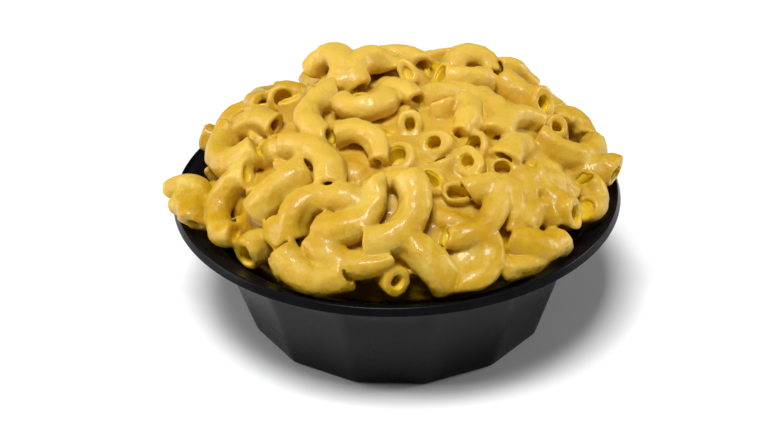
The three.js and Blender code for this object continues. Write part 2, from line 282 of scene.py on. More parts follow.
def mix(a, b, angle):
    return a * math.cos(angle) + b * math.sin(angle)


class Noodle:
    """An arc: the point at an angle a is start + inward * bend * (1 - cos a) + ahead * bend * sin a."""

    def __init__(self, x, y, lift, upright, opens, tip, tilt, sweep, length, anchor=0):
        east = np.array([1.0, 0, 0]) - upright * upright[0]
        east /= np.linalg.norm(east)
        flat_ahead = mix(east, np.cross(upright, east), math.radians(opens - 90))
        side = np.cross(upright, flat_ahead)
        self.upright = upright
        self.ahead = mix(flat_ahead, upright, math.radians(tilt))
        over = mix(upright, flat_ahead, -math.radians(tilt))
        self.inward = mix(side, over, math.radians(tip))
        self.across = np.cross(self.ahead, self.inward)
        self.radius = draw(*NOODLE_RADIUS)
        angle = math.radians(sweep)
        self.start = np.array([x, y, dome(x, y) - self.radius + lift])
        self.bend = length / angle
        self.first, self.last = (-0.5 - anchor) * angle, (0.5 - anchor) * angle
        self.mid, self.half = (self.first + self.last) / 2, (self.last - self.first) / 2
        self.length = length

    @property
    def centre(self):
        return self.start + self.inward * self.bend

    def at(self, angles):
        a = np.atleast_1d(angles)[:, None]
        return self.start + self.bend * (self.inward * (1 - np.cos(a)) + self.ahead * np.sin(a))

    def make_balls(self):
        inset = END_INSET * self.radius / self.bend
        span = self.last - self.first - 2 * inset
        return self.at(self.first + inset + span * np.arange(BALLS) / (BALLS - 1))

    def rims(self):
        turns = TURN * np.arange(RIM_POINTS) / RIM_POINTS
        rings = []
        for angle in (self.first, self.last):
            out = mix(self.inward, self.ahead, -angle)
            ring = np.cos(turns)[:, None] * out + np.sin(turns)[:, None] * self.across
            rings.append(self.at(angle) + self.radius * ring)
        return np.concatenate(rings)

    def room_left(self):
        return min(room(self.make_balls()).min() - self.radius, room(self.rims()).min()) - GAP

    def clear_of_bowl(self):
        """Lifts the noodle and draws it in until it is clear of the bowl."""
        while self.room_left() < 0:
            self.start = self.start * np.array([STEP_IN, STEP_IN, 1])
            self.start[2] += STEP_UP
        return self

    def sink(self, laid_balls, laid_radii, bite):
        """Lowers the noodle along its upright until it rests on those already laid, and returns how far."""
        balls = self.make_balls()
        over = ((balls[:, 2] - dome(balls[:, 0], balls[:, 1]) + self.radius) * self.upright[2]).max()
        top = draw(*SINK_FROM) - over
        apart = balls[:, None, :] - laid_balls[None]
        along = apart @ self.upright
        half = along * along - (apart**2).sum(-1) + (self.radius + laid_radii - bite) ** 2
        meets = half > 0
        root = np.sqrt(half[meets])
        low, high = -along[meets] - root, -along[meets] + root
        depth = top
        while True:
            inside = (low < depth) & (depth < high)
            if not inside.any():
                break
            depth = low[inside].min()
        self.start = self.start + self.upright * depth
        return top - depth


def filling_noodle(lengths):
    """A noodle at a random place on the dome, turned at random."""
    r = FILL_REACH * math.sqrt(draw(0, 1))
    way = draw(0, TURN)
    x, y = r * math.cos(way), r * math.sin(way)
    opens = draw(0, 360)
    tip = draw(*FILL_TIP)
    tip += FILL_TURNS[math.floor(draw(0, len(FILL_TURNS)))]
    tilt = draw(*STANDING_TILT) if draw(0, 1) < STANDING else draw(*FILL_TILT)
    sweep = draw(*FILL_SWEEP) * (lengths[1] / LONGEST_FILL)
    return Noodle(x, y, 0, dome_normal(x, y), opens, tip, tilt, sweep, draw(*lengths))


def lay_noodles():
    laid = []
    vertical = np.array([0, 0, 1.0])

    def keep(noodle, kind):
        noodle.kind = kind
        noodle.balls = noodle.make_balls()
        laid.append(noodle)

    for x, y, lift, opens, tip, tilt, sweep, length, *far_open in LAID_NOODLES:
        noodle = Noodle(x, y, lift, dome_normal(x, y), opens, tip, tilt, sweep, length)
        keep(noodle.clear_of_bowl(), "open" if far_open else "laid")
    for x, y, lift, faces, rise in OPEN_ENDS:
        length = draw(*NOODLE_LENGTH)
        noodle = Noodle(x, y, lift, vertical, faces + 90, OPEN_TIP, rise, OPEN_SWEEP, length, anchor=0.5)
        keep(noodle.clear_of_bowl(), "open")
    for tries, depth, bite, lengths in FILL_SETS:
        for _ in range(tries):
            noodle = filling_noodle(lengths)
            laid_balls = np.concatenate([other.balls for other in laid])
            laid_radii = np.repeat([other.radius for other in laid], BALLS)
            sunk = noodle.sink(laid_balls, laid_radii, bite)
            balls = noodle.make_balls()
            outermost = np.hypot(balls[:, 0], balls[:, 1]).max()
            if depth[0] < sunk < depth[1] and noodle.room_left() > 0 and outermost < FILL_REACH:
                keep(noodle, "fill")
    return laid


# ---------------------------------------------------------------- what makes each noodle its own

OVAL = (0.0, 0.12)  # squeeze of the whole tube, to which the pinches add at the ends
SLIGHT_PINCH = (0.0, 0.2)
STRONG_PINCH = (0.3, 0.6)
STRONG_CHANCE = {"laid": 0.22, "open": 0.35, "fill": 0.35}  # of an end's strong pinch
PINCH_REACH = 6.0  # over which a squeezed end fades into the round tube
WIDENED, FLATTENED = 0.32, 0.75  # shares of the radius by which a full squeeze does that
SWELLS = ((0.03, 7), (0.025, 13))  # share of the radius, and radians from end to end
TWIST = (-1.0, 1.0)  # radians, of the oval from end to end
SLANT, MOST_SLANT = 0.2, 0.4  # spread and limit of the slope of the cut ends
PINCHED_SLANT = 0.4  # share of it that a strongly pinched end keeps
OPEN_SLANT = 0.6  # share of it that an end open in view keeps
CUT_REACH = 6  # over which a slanting cut fades into the tube
BORE_SHARE = (0.38, 0.64)  # of the radius
BORE_SHIFT, MOST_SHIFT = 0.07, 0.14  # spread and limit of the bore's place, as shares of the radius
CRIMP = (0, 0.22)  # unevenness of the bore, as a share of its width
FILLED_CHANCE = 0.3  # of an end that sauce has closed
# how many, depth as a share of the radius, reach along the tube and narrowness round it
DENTS = (
    (3, (0.08, 0.26), (2.5, 5.5), 5),
    (2, (0.05, 0.16), (8, 16), 18),
)
DENT_PLACE = (0.1, 0.9)  # along the tube
COAT = (0.0, 0.25)  # by which the sauce stands over the noodle's radius
dice = np.random.default_rng(seed=12)


def give_character(noodle):
    """Draws how the tube is squeezed, twisted, dented, cut and bored."""
    noodle.turn = dice.uniform(0, math.pi)
    noodle.twist = dice.uniform(*TWIST)
    noodle.oval = dice.uniform(*OVAL)
    strong = dice.random(2) < STRONG_CHANCE[noodle.kind]
    noodle.pinch = np.where(strong, dice.uniform(*STRONG_PINCH, 2), dice.uniform(*SLIGHT_PINCH, 2))
    slant = dice.normal(0, SLANT, (2, 2)).clip(-MOST_SLANT, MOST_SLANT)
    noodle.cut = slant * np.where(strong, PINCHED_SLANT, 1)[:, None]
    noodle.share = dice.uniform(*BORE_SHARE)
    noodle.shift = dice.normal(0, BORE_SHIFT, 2).clip(-MOST_SHIFT, MOST_SHIFT)
    noodle.crimp = dice.uniform(*CRIMP)
    noodle.fold = dice.uniform(0, TURN)
    noodle.filled = dice.random(2) < FILLED_CHANCE
    noodle.dents = [
        (dice.uniform(*DENT_PLACE), dice.uniform(0, TURN), dice.uniform(*depth), dice.uniform(*reach), narrow)
        for count, depth, reach, narrow in DENTS
        for _ in range(count)
    ]
    noodle.wave = dice.uniform(0, TURN, 3)  # the last isn't used
    noodle.coat = dice.uniform(*COAT)
    noodle.tone = dice.uniform(0, 1)
    if noodle.kind == "open":
        noodle.pinch[1] = dice.uniform(*SLIGHT_PINCH)
        noodle.cut[1] *= OPEN_SLANT
        noodle.filled[1] = False


def section(noodle, t):
    """Half axes of the tube's oval at t, from 0 at its first end to 1 at its last, and how it is turned."""
    near = np.exp(-((t * noodle.length / PINCH_REACH) ** 2))
    far = np.exp(-(((1 - t) * noodle.length / PINCH_REACH) ** 2))
    squeeze = noodle.oval + noodle.pinch[0] * near + noodle.pinch[1] * far
    swell = 1
    for (share, pace), start in zip(SWELLS, noodle.wave):
        swell = swell + share * np.sin(pace * t + start)
    turn = noodle.turn + noodle.twist * (t - 0.5)
    radius = noodle.radius * swell
    return radius * (1 + WIDENED * squeeze), radius * (1 - FLATTENED * squeeze), turn


def dented(noodle, t, p, q):
    """The share of the tube's radius that its dents leave, towards p, q of the oval."""
    share = np.ones_like(p)
    angle = np.arctan2(q, p)
    for place, way, depth, reach, narrow in noodle.dents:
        across = 1 - np.cos(angle - way)
        along = ((t - place) * noodle.length / reach) ** 2
        share = share - depth * np.exp(-narrow * across - along)
    return share


def bored(noodle, p, q):
    """The bore's width towards p, q of the oval, as a share of the tube's radius."""
    angle = np.arctan2(q, p)
    crimp = noodle.crimp
    return noodle.share * (
        1 + crimp * np.cos(2 * angle - noodle.fold) + 0.5 * crimp * np.cos(3 * angle + noodle.fold)
    )


BOX_LOW, BOX_HIGH = (np.array(corner) / MM for corner in cad_box)
EASE = 2.0  # from the sides of the CAD solids' box, within which the food is eased back


def eased_in(points):
    """The same points, with what comes near the sides or the top of the box eased back inside it."""
    points = points.copy()
    for axis, side, bound in ((0, -1, -BOX_LOW[0]), (0, 1, BOX_HIGH[0]), (2, 1, BOX_HIGH[2])):
        past = side * points[:, axis] - bound + EASE
        eased = bound - EASE * np.exp(-np.maximum(past, 0) / EASE)
        points[:, axis] = np.where(past > 0, side * eased, points[:, axis])
    return points


# ---------------------------------------------------------------- meshes


def new_object(name, vertices, faces, smooth=True):
    """A mesh object in the scene, from vertices in millimetres and faces with as many corners each."""
    mesh = bpy.data.meshes.new(name)
    faces = np.asarray(faces, dtype=np.int32)
    size = faces.shape[1]
    mesh.vertices.add(len(vertices))
    mesh.vertices.foreach_set("co", (np.asarray(vertices, dtype=np.float32) * MM).ravel())
    mesh.loops.add(faces.size)
    mesh.loops.foreach_set("vertex_index", faces.ravel())
    mesh.polygons.add(len(faces))
    mesh.polygons.foreach_set("loop_start", np.arange(0, faces.size, size, dtype=np.int32))
    mesh.update(calc_edges=True)
    if smooth:
        mesh.shade_smooth()
    piece = bpy.data.objects.new(name, mesh)
    bpy.context.scene.collection.objects.link(piece)
    return piece


def split(quads):
    """Two triangles for each quad."""
    return np.concatenate([quads[:, [0, 1, 2]], quads[:, [0, 2, 3]]])


def skin(rings, sides):
    """Triangles from ring to ring, and a fan at each end, round the two points that follow the rings."""
    i, j = np.meshgrid(np.arange(rings - 1), np.arange(sides), indexing="ij")
    a, b = i * sides + j, i * sides + (j + 1) % sides
    quads = np.stack([a, b, b + sides, a + sides], -1).reshape(-1, 4)
    here = np.arange(sides)
    after = (here + 1) % sides
    top = (rings - 1) * sides
    first_fan = np.stack([np.full(sides, rings * sides), after, here], -1)
    last_fan = np.stack([np.full(sides, rings * sides + 1), top + here, top + after], -1)
    return np.concatenate([split(quads), first_fan, last_fan])


def lathe(outline, sides, shape=None):
    """A closed turned body from an outline (r, z) that starts and ends on the axis."""
    outline = np.asarray(outline, float)
    rows = outline[1:-1]
    turns = TURN * np.arange(sides) / sides
    scale = np.ones((len(rows), sides)) if shape is None else shape(turns)
    x = rows[:, :1] * np.cos(turns) * scale
    y = rows[:, :1] * np.sin(turns) * scale
    z = np.repeat(rows[:, 1:2], sides, 1)
    points = np.stack([x, y, z], -1).reshape(-1, 3)
    middles = [[0, 0, outline[0, 1]], [0, 0, outline[-1, 1]]]
    return np.concatenate([points, middles]), skin(len(rows), sides)


def joined(parts):
    vertices, faces, base = [], [], 0
    for points, triangles in parts:
        vertices.append(points)
        faces.append(triangles + base)
        base += len(points)
    return np.concatenate(vertices), np.concatenate(faces)


UNDER = 0.6  # by which the pasta lies inside the noodle's radius and ends, under the sauce


def tube_mesh(noodle, sides=18, steps=13, bore_steps=5, bore_depth=7.5, deepest=0.45):
    """A hollow tube: its outside, its two cut faces and the first stretch of its bore from each end."""
    turns = TURN * np.arange(sides) / sides
    margin = UNDER / noodle.length

    def ring(t, share=None):
        """Points round the tube at t, at a share of its radius, or round its bore if no share is given."""
        t = min(max(t, margin), 1 - margin)
        angle = noodle.mid + (2 * t - 1) * noodle.half
        out = -mix(noodle.inward, noodle.ahead, -angle)
        along = mix(noodle.ahead, noodle.inward, angle)
        a, b, turn = section(noodle, t)
        p, q = np.cos(turns), np.sin(turns)
        within = share is None
        wide = dented(noodle, t, p, q) * (bored(noodle, p, q) if within else share)
        p = a * (wide * p + (noodle.shift[0] if within else 0))
        q = b * (wide * q + (noodle.shift[1] if within else 0))
        u = p * math.cos(turn) - q * math.sin(turn)
        v = p * math.sin(turn) + q * math.cos(turn)
        end = 1 if t > 0.5 else 0
        fade = max(0.0, 1 - min(t, 1 - t) * noodle.length / CUT_REACH)
        lean = -(noodle.cut[end][0] * u + noodle.cut[end][1] * v) * (1 if end else -1) * fade
        return noodle.at(angle) + out * u[:, None] + noodle.across * v[:, None] + along * lean[:, None]

    deep = min(bore_depth, deepest * noodle.length) / noodle.length
    rings = [ring(deep * i / bore_steps) for i in range(bore_steps, -1, -1)]
    rings += [ring(i / steps, 1 - UNDER / noodle.radius) for i in range(steps + 1)]
    rings += [ring(1 - deep * i / bore_steps) for i in range(bore_steps + 1)]
    middles = [rings[0].mean(0), rings[-1].mean(0)]
    return np.concatenate([*rings, middles]), skin(len(rings), sides)


# ---------------------------------------------------------------- the sauce, as a distance field on a grid

VOXEL = 0.62
LOW = np.array([-90.0, -82.0, 41.0])
HIGH = np.array([88.0, 85.0, 98.0])
GRID = tuple(np.ceil((HIGH - LOW) / VOXEL).astype(int) + 1)
AXES = [LOW[i] + VOXEL * np.arange(GRID[i]) for i in range(3)]
FAR = 9.0  # the distance where nothing is near
MENISCUS = 0.4  # how softly coated noodles run into each other
END_COAT = 0.25  # of sauce over a cut end
END_ROUNDING = 1.0  # of the edge between a noodle's side and its cut end
LIP_ROUNDING = 0.35  # of the edge between an end and its bore
BORE_DEPTH = 6.0
BORE_SPARE = 0.1  # by which the hole in the sauce is wider than the tube's bore
BORE_OUT = 1.0  # by which the bore's field reaches out of the end, through its coat
FILLED_DEPTH = 0.9  # of the dimple in an end that sauce has closed
CORE_DEPTH = 9.6  # of the sauce between the noodles, under the dome
CORE_RADIUS = 64
CORE_ROUNDING = 5
CORE_LIMITS = (-6, 9)  # to which its distance is held, for the exponential's sake
POOL = (24, -12)  # the middle of where it stands higher
POOL_REACH = 24
POOL_RISE = 3.2
LUMPS = ((0.14, 7, 14), (0.09, 2.8, 24))  # height, least width and number of waves
LONGEST_WAVE = 2.2  # of the least width
LUMPY_DEPTH = 2.5  # on either side of the surface that they shift
SHADED_DEPTH = 3  # under the dome, below which the sauce gets more painted shade the deeper it lies
SHADED_RANGE = 8  # up to this much deeper
SHADE = 0.06  # by this much for each millimetre
WINDOW_SHARE, WINDOW_MARGIN = 1.3, 2.6  # of the radius and beyond that, round a noodle's middle line
MOST_TRIANGLES = 196000


def oval_distance(p, q, a, b):
    """Distance from p, q to an oval with the half axes a and b, close to it."""
    f = np.sqrt((p / a) ** 2 + (q / b) ** 2) + 1e-4
    g = np.sqrt((p / a**2) ** 2 + (q / b**2) ** 2) + 1e-4 / np.minimum(a, b)
    return (f - 1) * f / g


def noodle_window(noodle):
    """The part of the grid that the noodle and its coat can reach."""
    margin = WINDOW_SHARE * noodle.radius + WINDOW_MARGIN
    line = noodle.at(noodle.mid + np.linspace(-1, 1, 25) * noodle.half)
    low, high = line.min(0) - margin, line.max(0) + margin
    start = np.maximum(np.floor((low - LOW) / VOXEL).astype(int), 0)
    stop = np.minimum(np.ceil((high - LOW) / VOXEL).astype(int) + 1, GRID)
    return tuple(slice(a, b) for a, b in zip(start, stop))


def noodle_field(noodle, window):
    """Distances to the coated noodle and to its bore, on a window of the grid."""
    x, y, z = (AXES[i][window[i]] - noodle.centre[i] for i in range(3))

    def along(direction):
        total = x[:, None, None] * direction[0] + y[None, :, None] * direction[1] + z * direction[2]
        return total.astype(np.float32)

    out, forth, v = along(-noodle.inward), along(noodle.ahead), along(noodle.across)
    rho = np.hypot(out, forth)
    angle = np.arctan2(forth, out) - np.float32(noodle.mid)
    angle = (angle + math.pi) % TURN - math.pi
    held = np.clip(angle, -noodle.half, noodle.half)
    past = np.abs(angle) - noodle.half
    turned = np.clip(np.abs(angle - held), 0, math.pi / 2)
    u = rho * np.cos(turned) - np.float32(noodle.bend)
    last = angle > 0
    (first_u, first_v), (last_u, last_v) = noodle.cut
    beyond = np.where(past > 0, rho * np.sin(turned), past * rho)
    beyond = beyond + np.where(last, last_u, first_u) * u + np.where(last, last_v, first_v) * v

    t = (held + noodle.half) / (2 * noodle.half)
    a, b, turn = section(noodle, t)
    c, s = np.cos(turn), np.sin(turn)
    p, q = u * c + v * s, v * c - u * s
    pressed = dented(noodle, t, p / a, q / b)
    side = oval_distance(p, q, a * pressed + noodle.coat, b * pressed + noodle.coat) + END_ROUNDING
    cap = beyond - END_COAT + END_ROUNDING
    corner = np.hypot(np.maximum(side, 0), np.maximum(cap, 0))
    coated = np.minimum(np.maximum(side, cap), 0) + corner - END_ROUNDING

    shift_p, shift_q = noodle.shift
    wide = bored(noodle, p / a - shift_p, q / b - shift_q) * pressed
    hole = oval_distance(p - a * shift_p, q - b * shift_q, a * wide + BORE_SPARE, b * wide + BORE_SPARE)
    first_deep, last_deep = (FILLED_DEPTH if filled else BORE_DEPTH for filled in noodle.filled)
    deep = np.where(last, last_deep, first_deep)
    bore = np.maximum(hole, np.maximum(-beyond - deep, beyond - BORE_OUT))
    return coated, bore.astype(np.float32)


def waves(points, width, count, state):
    """Smooth noise of about unit height: plane waves in random directions, none shorter than the width."""
    total = np.zeros(len(points), np.float32)
    for _ in range(count):
        way = state.normal(size=3)
        way *= TURN / (width * state.uniform(1, LONGEST_WAVE) * np.linalg.norm(way))
        total += np.sin(points @ way.astype(np.float32) + np.float32(state.uniform(0, TURN)))
    return total * np.float32(math.sqrt(2 / count))


def smooth_max(a, b, reach):
    blend = np.clip(0.5 + 0.5 * (a - b) / reach, 0, 1)
    return b + (a - b) * blend + reach * blend * (1 - blend)


def sauce_field(noodles):
    """On the grid: the distance to the sauce, a painted-shade mask where sauce pools between noodles and lies
    deep under the dome, the distance to a bore, and the tone.
    """
    total = np.full(GRID, 1e-9, np.float32)
    bores = np.full(GRID, FAR, np.float32)
    nearest = np.full(GRID, FAR, np.float32)
    tone = np.full(GRID, 0.5, np.float32)
    for noodle in noodles:
        window = noodle_window(noodle)
        coated, bore = noodle_field(noodle, window)
        total[window] += np.exp(-coated / MENISCUS)
        bores[window] = np.minimum(bores[window], bore)
        tone[window] = np.where(coated < nearest[window], noodle.tone, tone[window])
        nearest[window] = np.minimum(nearest[window], coated)

    x, y, z = np.meshgrid(*AXES, indexing="ij", sparse=True)
    steepness = np.sqrt(1 + dome_slope(np.hypot(x - MIDDLE[0], y - MIDDLE[1])) ** 2)
    raised = POOL_RISE * np.exp(-((x - POOL[0]) ** 2 + (y - POOL[1]) ** 2) / POOL_REACH**2)
    core = (z - dome(x, y) + CORE_DEPTH - raised) / steepness
    core = smooth_max(core, np.hypot(x, y) - CORE_RADIUS, CORE_ROUNDING).astype(np.float32)
    total += np.exp(-np.clip(core, *CORE_LIMITS) / MENISCUS)
    nearest = np.minimum(nearest, core)
    field = -MENISCUS * np.log(total)

    near_surface = np.abs(field) < LUMPY_DEPTH
    index = np.nonzero(near_surface)
    points = np.stack([AXES[i][index[i]] for i in range(3)], -1).astype(np.float32)
    state = np.random.default_rng(seed=3)
    field[near_surface] -= sum(height * waves(points, width, count, state) for height, width, count in LUMPS)

    # painted shade: the deeper the sauce lies under the dome, the darker it is painted
    sunk = (dome(x, y) - z) / steepness
    pool_shade = nearest - field + SHADE * np.clip(sunk - SHADED_DEPTH, 0, SHADED_RANGE)
    return smooth_max(field, -bores, LIP_ROUNDING), pool_shade.astype(np.float32), bores, tone


def fill_voids(field, sweeps=8, filled=-0.3):
    """Fills the hollows that nothing outside can see into."""
    free = field > 0
    reached = np.zeros_like(free)
    reached[:, :, -1] = free[:, :, -1]
    reached[0], reached[-1] = free[0], free[-1]
    reached[:, 0], reached[:, -1] = free[:, 0], free[:, -1]
    for _ in range(sweeps):
        before = reached.sum()
        for axis in (2, 0, 1, 2):
            moved = np.moveaxis(reached, axis, 0)
            open_space = np.moveaxis(free, axis, 0)
            for i in range(1, len(moved)):
                moved[i] |= moved[i - 1] & open_space[i]
            for i in range(len(moved) - 2, -1, -1):
                moved[i] |= moved[i + 1] & open_space[i]
        if reached.sum() == before:
            break
    field[free & ~reached] = filled
    return field


CORNERS = [(i, j, k) for i in (0, 1) for j in (0, 1) for k in (0, 1)]
EDGES = [(a, b) for a in range(8) for b in range(a + 1, 8) if bin(a ^ b).count("1") == 1]


def surface_net(field):
    """One vertex in each cell that the surface crosses, and a quad across each edge that it crosses."""
    inside = field < 0
    count = np.zeros(tuple(n - 1 for n in field.shape), np.int8)
    for i, j, k in CORNERS:
        count += inside[i : i + count.shape[0], j : j + count.shape[1], k : k + count.shape[2]]
    cells = np.nonzero((count > 0) & (count < len(CORNERS)))
    number = np.full(count.shape, -1, np.int32)
    number[cells] = np.arange(len(cells[0]))
    values = np.stack([field[cells[0] + i, cells[1] + j, cells[2] + k] for i, j, k in CORNERS])
    total = np.zeros((len(cells[0]), 3))
    crossings = np.zeros(len(cells[0]))
    corners = np.array(CORNERS, float)
    for a, b in EDGES:
        crosses = (values[a] < 0) != (values[b] < 0)
        t = np.where(crosses, values[a] / (values[a] - values[b] + 1e-12 * (~crosses)), 0)
        total += np.where(crosses[:, None], corners[a] + t[:, None] * (corners[b] - corners[a]), 0)
        crossings += crosses
    points = np.stack(cells, -1) + total / crossings[:, None]
    faces = []
    for axis in range(3):
        u, v = (axis + 1) % 3, (axis + 2) % 3
        here, there = [slice(1, -1)] * 3, [slice(1, -1)] * 3
        here[axis] = slice(0, -1)
        there[axis] = slice(1, None)
        a, b = inside[tuple(here)], inside[tuple(there)]
        at = np.stack(np.nonzero(a != b), -1)
        leaving = a[tuple(at.T)]
        at[:, u] += 1
        at[:, v] += 1
        corner = []
        for du, dv in ((-1, -1), (0, -1), (0, 0), (-1, 0)):
            cell = at.copy()
            cell[:, u] += du
            cell[:, v] += dv
            corner.append(number[tuple(cell.T)])
        quad = np.stack(corner, -1)
        quad[~leaving] = quad[~leaving][:, ::-1]
        faces.append(quad)
    return points, np.concatenate(faces)


def sampled(field, points):
    """The field at points counted in voxels, between the values at their cell's corners."""
    base = np.floor(points).astype(int)
    base = np.clip(base, 0, np.array(field.shape) - 2)
    part = points - base
    total = np.zeros(len(points))
    for i, j, k in CORNERS:
        weight = np.ones(len(points))
        for axis, far in enumerate((i, j, k)):
            weight *= part[:, axis] if far else 1 - part[:, axis]
        total += weight * field[base[:, 0] + i, base[:, 1] + j, base[:, 2] + k]
    return total


def drawn_to_surface(points, field, rounds=2, longest=0.35, least_square=0.05):
    """The points moved along the field's slope to where it is zero, by short steps."""
    for _ in range(rounds):
        value = sampled(field, points)
        halves = 0.5 * np.eye(3)
        slope = [sampled(field, points + half) - sampled(field, points - half) for half in halves]
        slope = np.stack(slope, -1)
        square = (slope**2).sum(-1)
        move = slope * (value / np.maximum(square, least_square))[:, None]
        size = np.linalg.norm(move, axis=1)
        points = points - move * (np.minimum(size, longest) / np.maximum(size, 1e-9))[:, None]
    return points


def slimmed(piece, most):
    """Collapses edges until the piece has no more triangles than that."""
    triangles = sum(len(p.vertices) - 2 for p in piece.data.polygons)
    if triangles <= most:
        return
    slim = piece.modifiers.new("slim", "DECIMATE")
    slim.ratio = most / triangles
    depsgraph = bpy.context.evaluated_depsgraph_get()
    mesh = bpy.data.meshes.new_from_object(piece.evaluated_get(depsgraph))
    piece.modifiers.clear()
    piece.data = mesh
    mesh.shade_smooth()


def sauce_body(shoulder=34, top=40, sides=64):
    """The sauce deep in the bowl, which doesn't show: a turned body from the floor up into the heap."""
    foot = (BASE_RADIUS - WALL) * FLAT_SHARE - GAP - 1
    low = WALL + GAP
    return lathe([(0, low), (foot, low), (foot + 6, shoulder), (foot + 2, top), (0, WALL_TOP - 1)], sides)


def make_sauce(noodles):
    """The sauce, with what its material needs to know kept at its vertices."""
    field, pool_shade, bores, tone = sauce_field(noodles)
    field = fill_voids(field)
    field[:, :, 0] = 1.0  # outside, which closes the sauce at the grid's bottom
    points, quads = surface_net(field)
    points = drawn_to_surface(points, field)
    vertices, faces = joined([(LOW + points * VOXEL, split(quads)), sauce_body()])
    piece = new_object("cheese_sauce", eased_in(vertices), faces)
    slimmed(piece, MOST_TRIANGLES)
    placed = np.empty(len(piece.data.vertices) * 3, np.float32)
    piece.data.vertices.foreach_get("co", placed)
    index = (placed.reshape(-1, 3) / MM - LOW) / VOXEL
    index = np.clip(index, 0, np.array(GRID) - 1.001)
    for name, values in {"pool_shade": pool_shade, "mouth": bores, "tone": tone}.items():
        layer = piece.data.attributes.new(name, "FLOAT", "POINT")
        layer.data.foreach_set("value", sampled(values, index).astype(np.float32))
    return piece


# ---------------------------------------------------------------- the bowl

RIM_SPARE = 0.1  # by which the lip stays inside the solid's
FADE_SHARE = 0.78  # of the wall's height, from where the flats fade into the round
LIP_LEAN = 1.2  # of the lip's outer face, from its lower edge in to its top
BEAD = 1.9  # from the lip's edge in to the bead's inner edge
GROOVE = 1.35  # depth behind the bead
FACET_POWER = 260  # how sharp the edges between the flats are
FACET_STEPS = 20  # sides of the mesh to each flat
OUTLINE_STEP = 3.0  # longest stretch between two rings of the mesh
FLAT, ROUND = 0, 1  # form of a ring


def rounded(corners, steps=6, most=0.49):
    """A polyline with its corners (r, z, fillet, form) rounded off, each over less than half of its sides."""
    rows = [corners[0][:2] + corners[0][3:]]
    for before, here, after in zip(corners, corners[1:], corners[2:]):
        p, q, s = (np.array(corner[:2], float) for corner in (before, here, after))
        fillet, form = here[2], here[3:]
        if fillet == 0:
            rows.append(tuple(q) + form)
            continue
        back, forth = (p - q) / np.linalg.norm(p - q), (s - q) / np.linalg.norm(s - q)
        reach = min(fillet, most * np.linalg.norm(p - q), most * np.linalg.norm(s - q))
        for step in np.linspace(0, 1, steps):
            point = q + back * reach * (1 - step) ** 2 + forth * reach * step**2
            rows.append(tuple(point) + form)
    rows.append(corners[-1][:2] + corners[-1][3:])
    return rows


def subdivided(rows, longest):
    result = [rows[0]]
    for a, b in zip(rows, rows[1:]):
        a, b = np.array(a, float), np.array(b, float)
        pieces = max(1, math.ceil(np.linalg.norm(b[:2] - a[:2]) / longest))
        result += [tuple(a + (b - a) * i / pieces) for i in range(1, pieces + 1)]
    return result


def make_bowl():
    rim = RIM_RADIUS - RIM_SPARE
    under = BOWL_HEIGHT - LIP
    rise = (WALL_TOP_RADIUS - BASE_RADIUS) / WALL_TOP
    fade = FADE_SHARE * WALL_TOP
    fade_radius = BASE_RADIUS + rise * fade
    corners = [
        (0, 0, 0, FLAT),
        (BASE_RADIUS, 0, 1.6, FLAT),
        (fade_radius, fade, 0, FLAT),
        (WALL_TOP_RADIUS, WALL_TOP, 2.5, ROUND),
        # the lip, from under the flange round to its bead and the groove behind that
        (rim - 1.6, under - 0.1, 1.2, ROUND),
        (rim - 1.1, under - 0.1, 0.3, ROUND),
        (rim, under + 0.1, 0.2, ROUND),
        (rim - LIP_LEAN, BOWL_HEIGHT - 0.1, 0.9, ROUND),
        (rim - BEAD, BOWL_HEIGHT, 0.6, ROUND),
        (rim - BEAD - 0.4, BOWL_HEIGHT - GROOVE, 0.5, ROUND),
        (rim - BEAD - 1.1, BOWL_HEIGHT - 1.0, 0.5, ROUND),
        # down the flange and the wall's inside
        ((FLANGE_INNER + RIM_RADIUS - 2.9) / 2, BOWL_HEIGHT - 3.3, 3.0, ROUND),
        (FLANGE_INNER, BOWL_HEIGHT - 5, 2.0, ROUND),
        (WALL_TOP_RADIUS - WALL, WALL_TOP - 1, 1.5, ROUND),
        (fade_radius - WALL, fade, 0, FLAT),
        (BASE_RADIUS - WALL, WALL, 2.0, FLAT),
        (0, WALL, 0, FLAT),
    ]
    rows = subdivided(rounded(corners), OUTLINE_STEP)
    roundness = np.array([row[2] for row in rows])[1:-1, None]
    roundness = roundness * roundness * (3 - 2 * roundness)

    def shape(turns):
        """Each point's share of the ring's radius."""
        middles = math.radians(FACET_TURN - 90) + TURN * np.arange(FACETS) / FACETS
        facing = np.maximum(np.cos(turns[:, None] - middles), 0)
        flat = FLAT_SHARE * (facing**FACET_POWER).sum(-1) ** (-1 / FACET_POWER)
        return flat[None] + (1 - flat[None]) * roundness

    points, faces = lathe([row[:2] for row in rows], FACETS * FACET_STEPS, shape)
    return new_object("bowl_shell", points, faces)


# ---------------------------------------------------------------- materials

# colours are linear red, green and blue; a stop of a ramp has its place before its colour
SAUCE_STOPS = ((0.28, (0.495, 0.265, 0.002)), (0.5, (0.567, 0.333, 0.006)), (0.74, (0.635, 0.445, 0.068)))
TOP_PAINTED_LIGHT_COLOUR = (0.77, 0.515, 0.08)  # painted light: paler sauce towards the top of the heap, for the brighter light there
POOL_SHADE_COLOUR = (0.54, 0.28, 0.007)  # painted shade where the sauce pools between the noodles and lies deep under the heap, partly also the deeper colour of thicker sauce
MOUTH_COLOUR = (0.65, 0.42, 0.04)  # round the open ends
BORE_PAINTED_LIGHT_COLOUR = (0.75, 0.49, 0.01)  # inside the tubes, painted lighter for the light that reaches through their walls
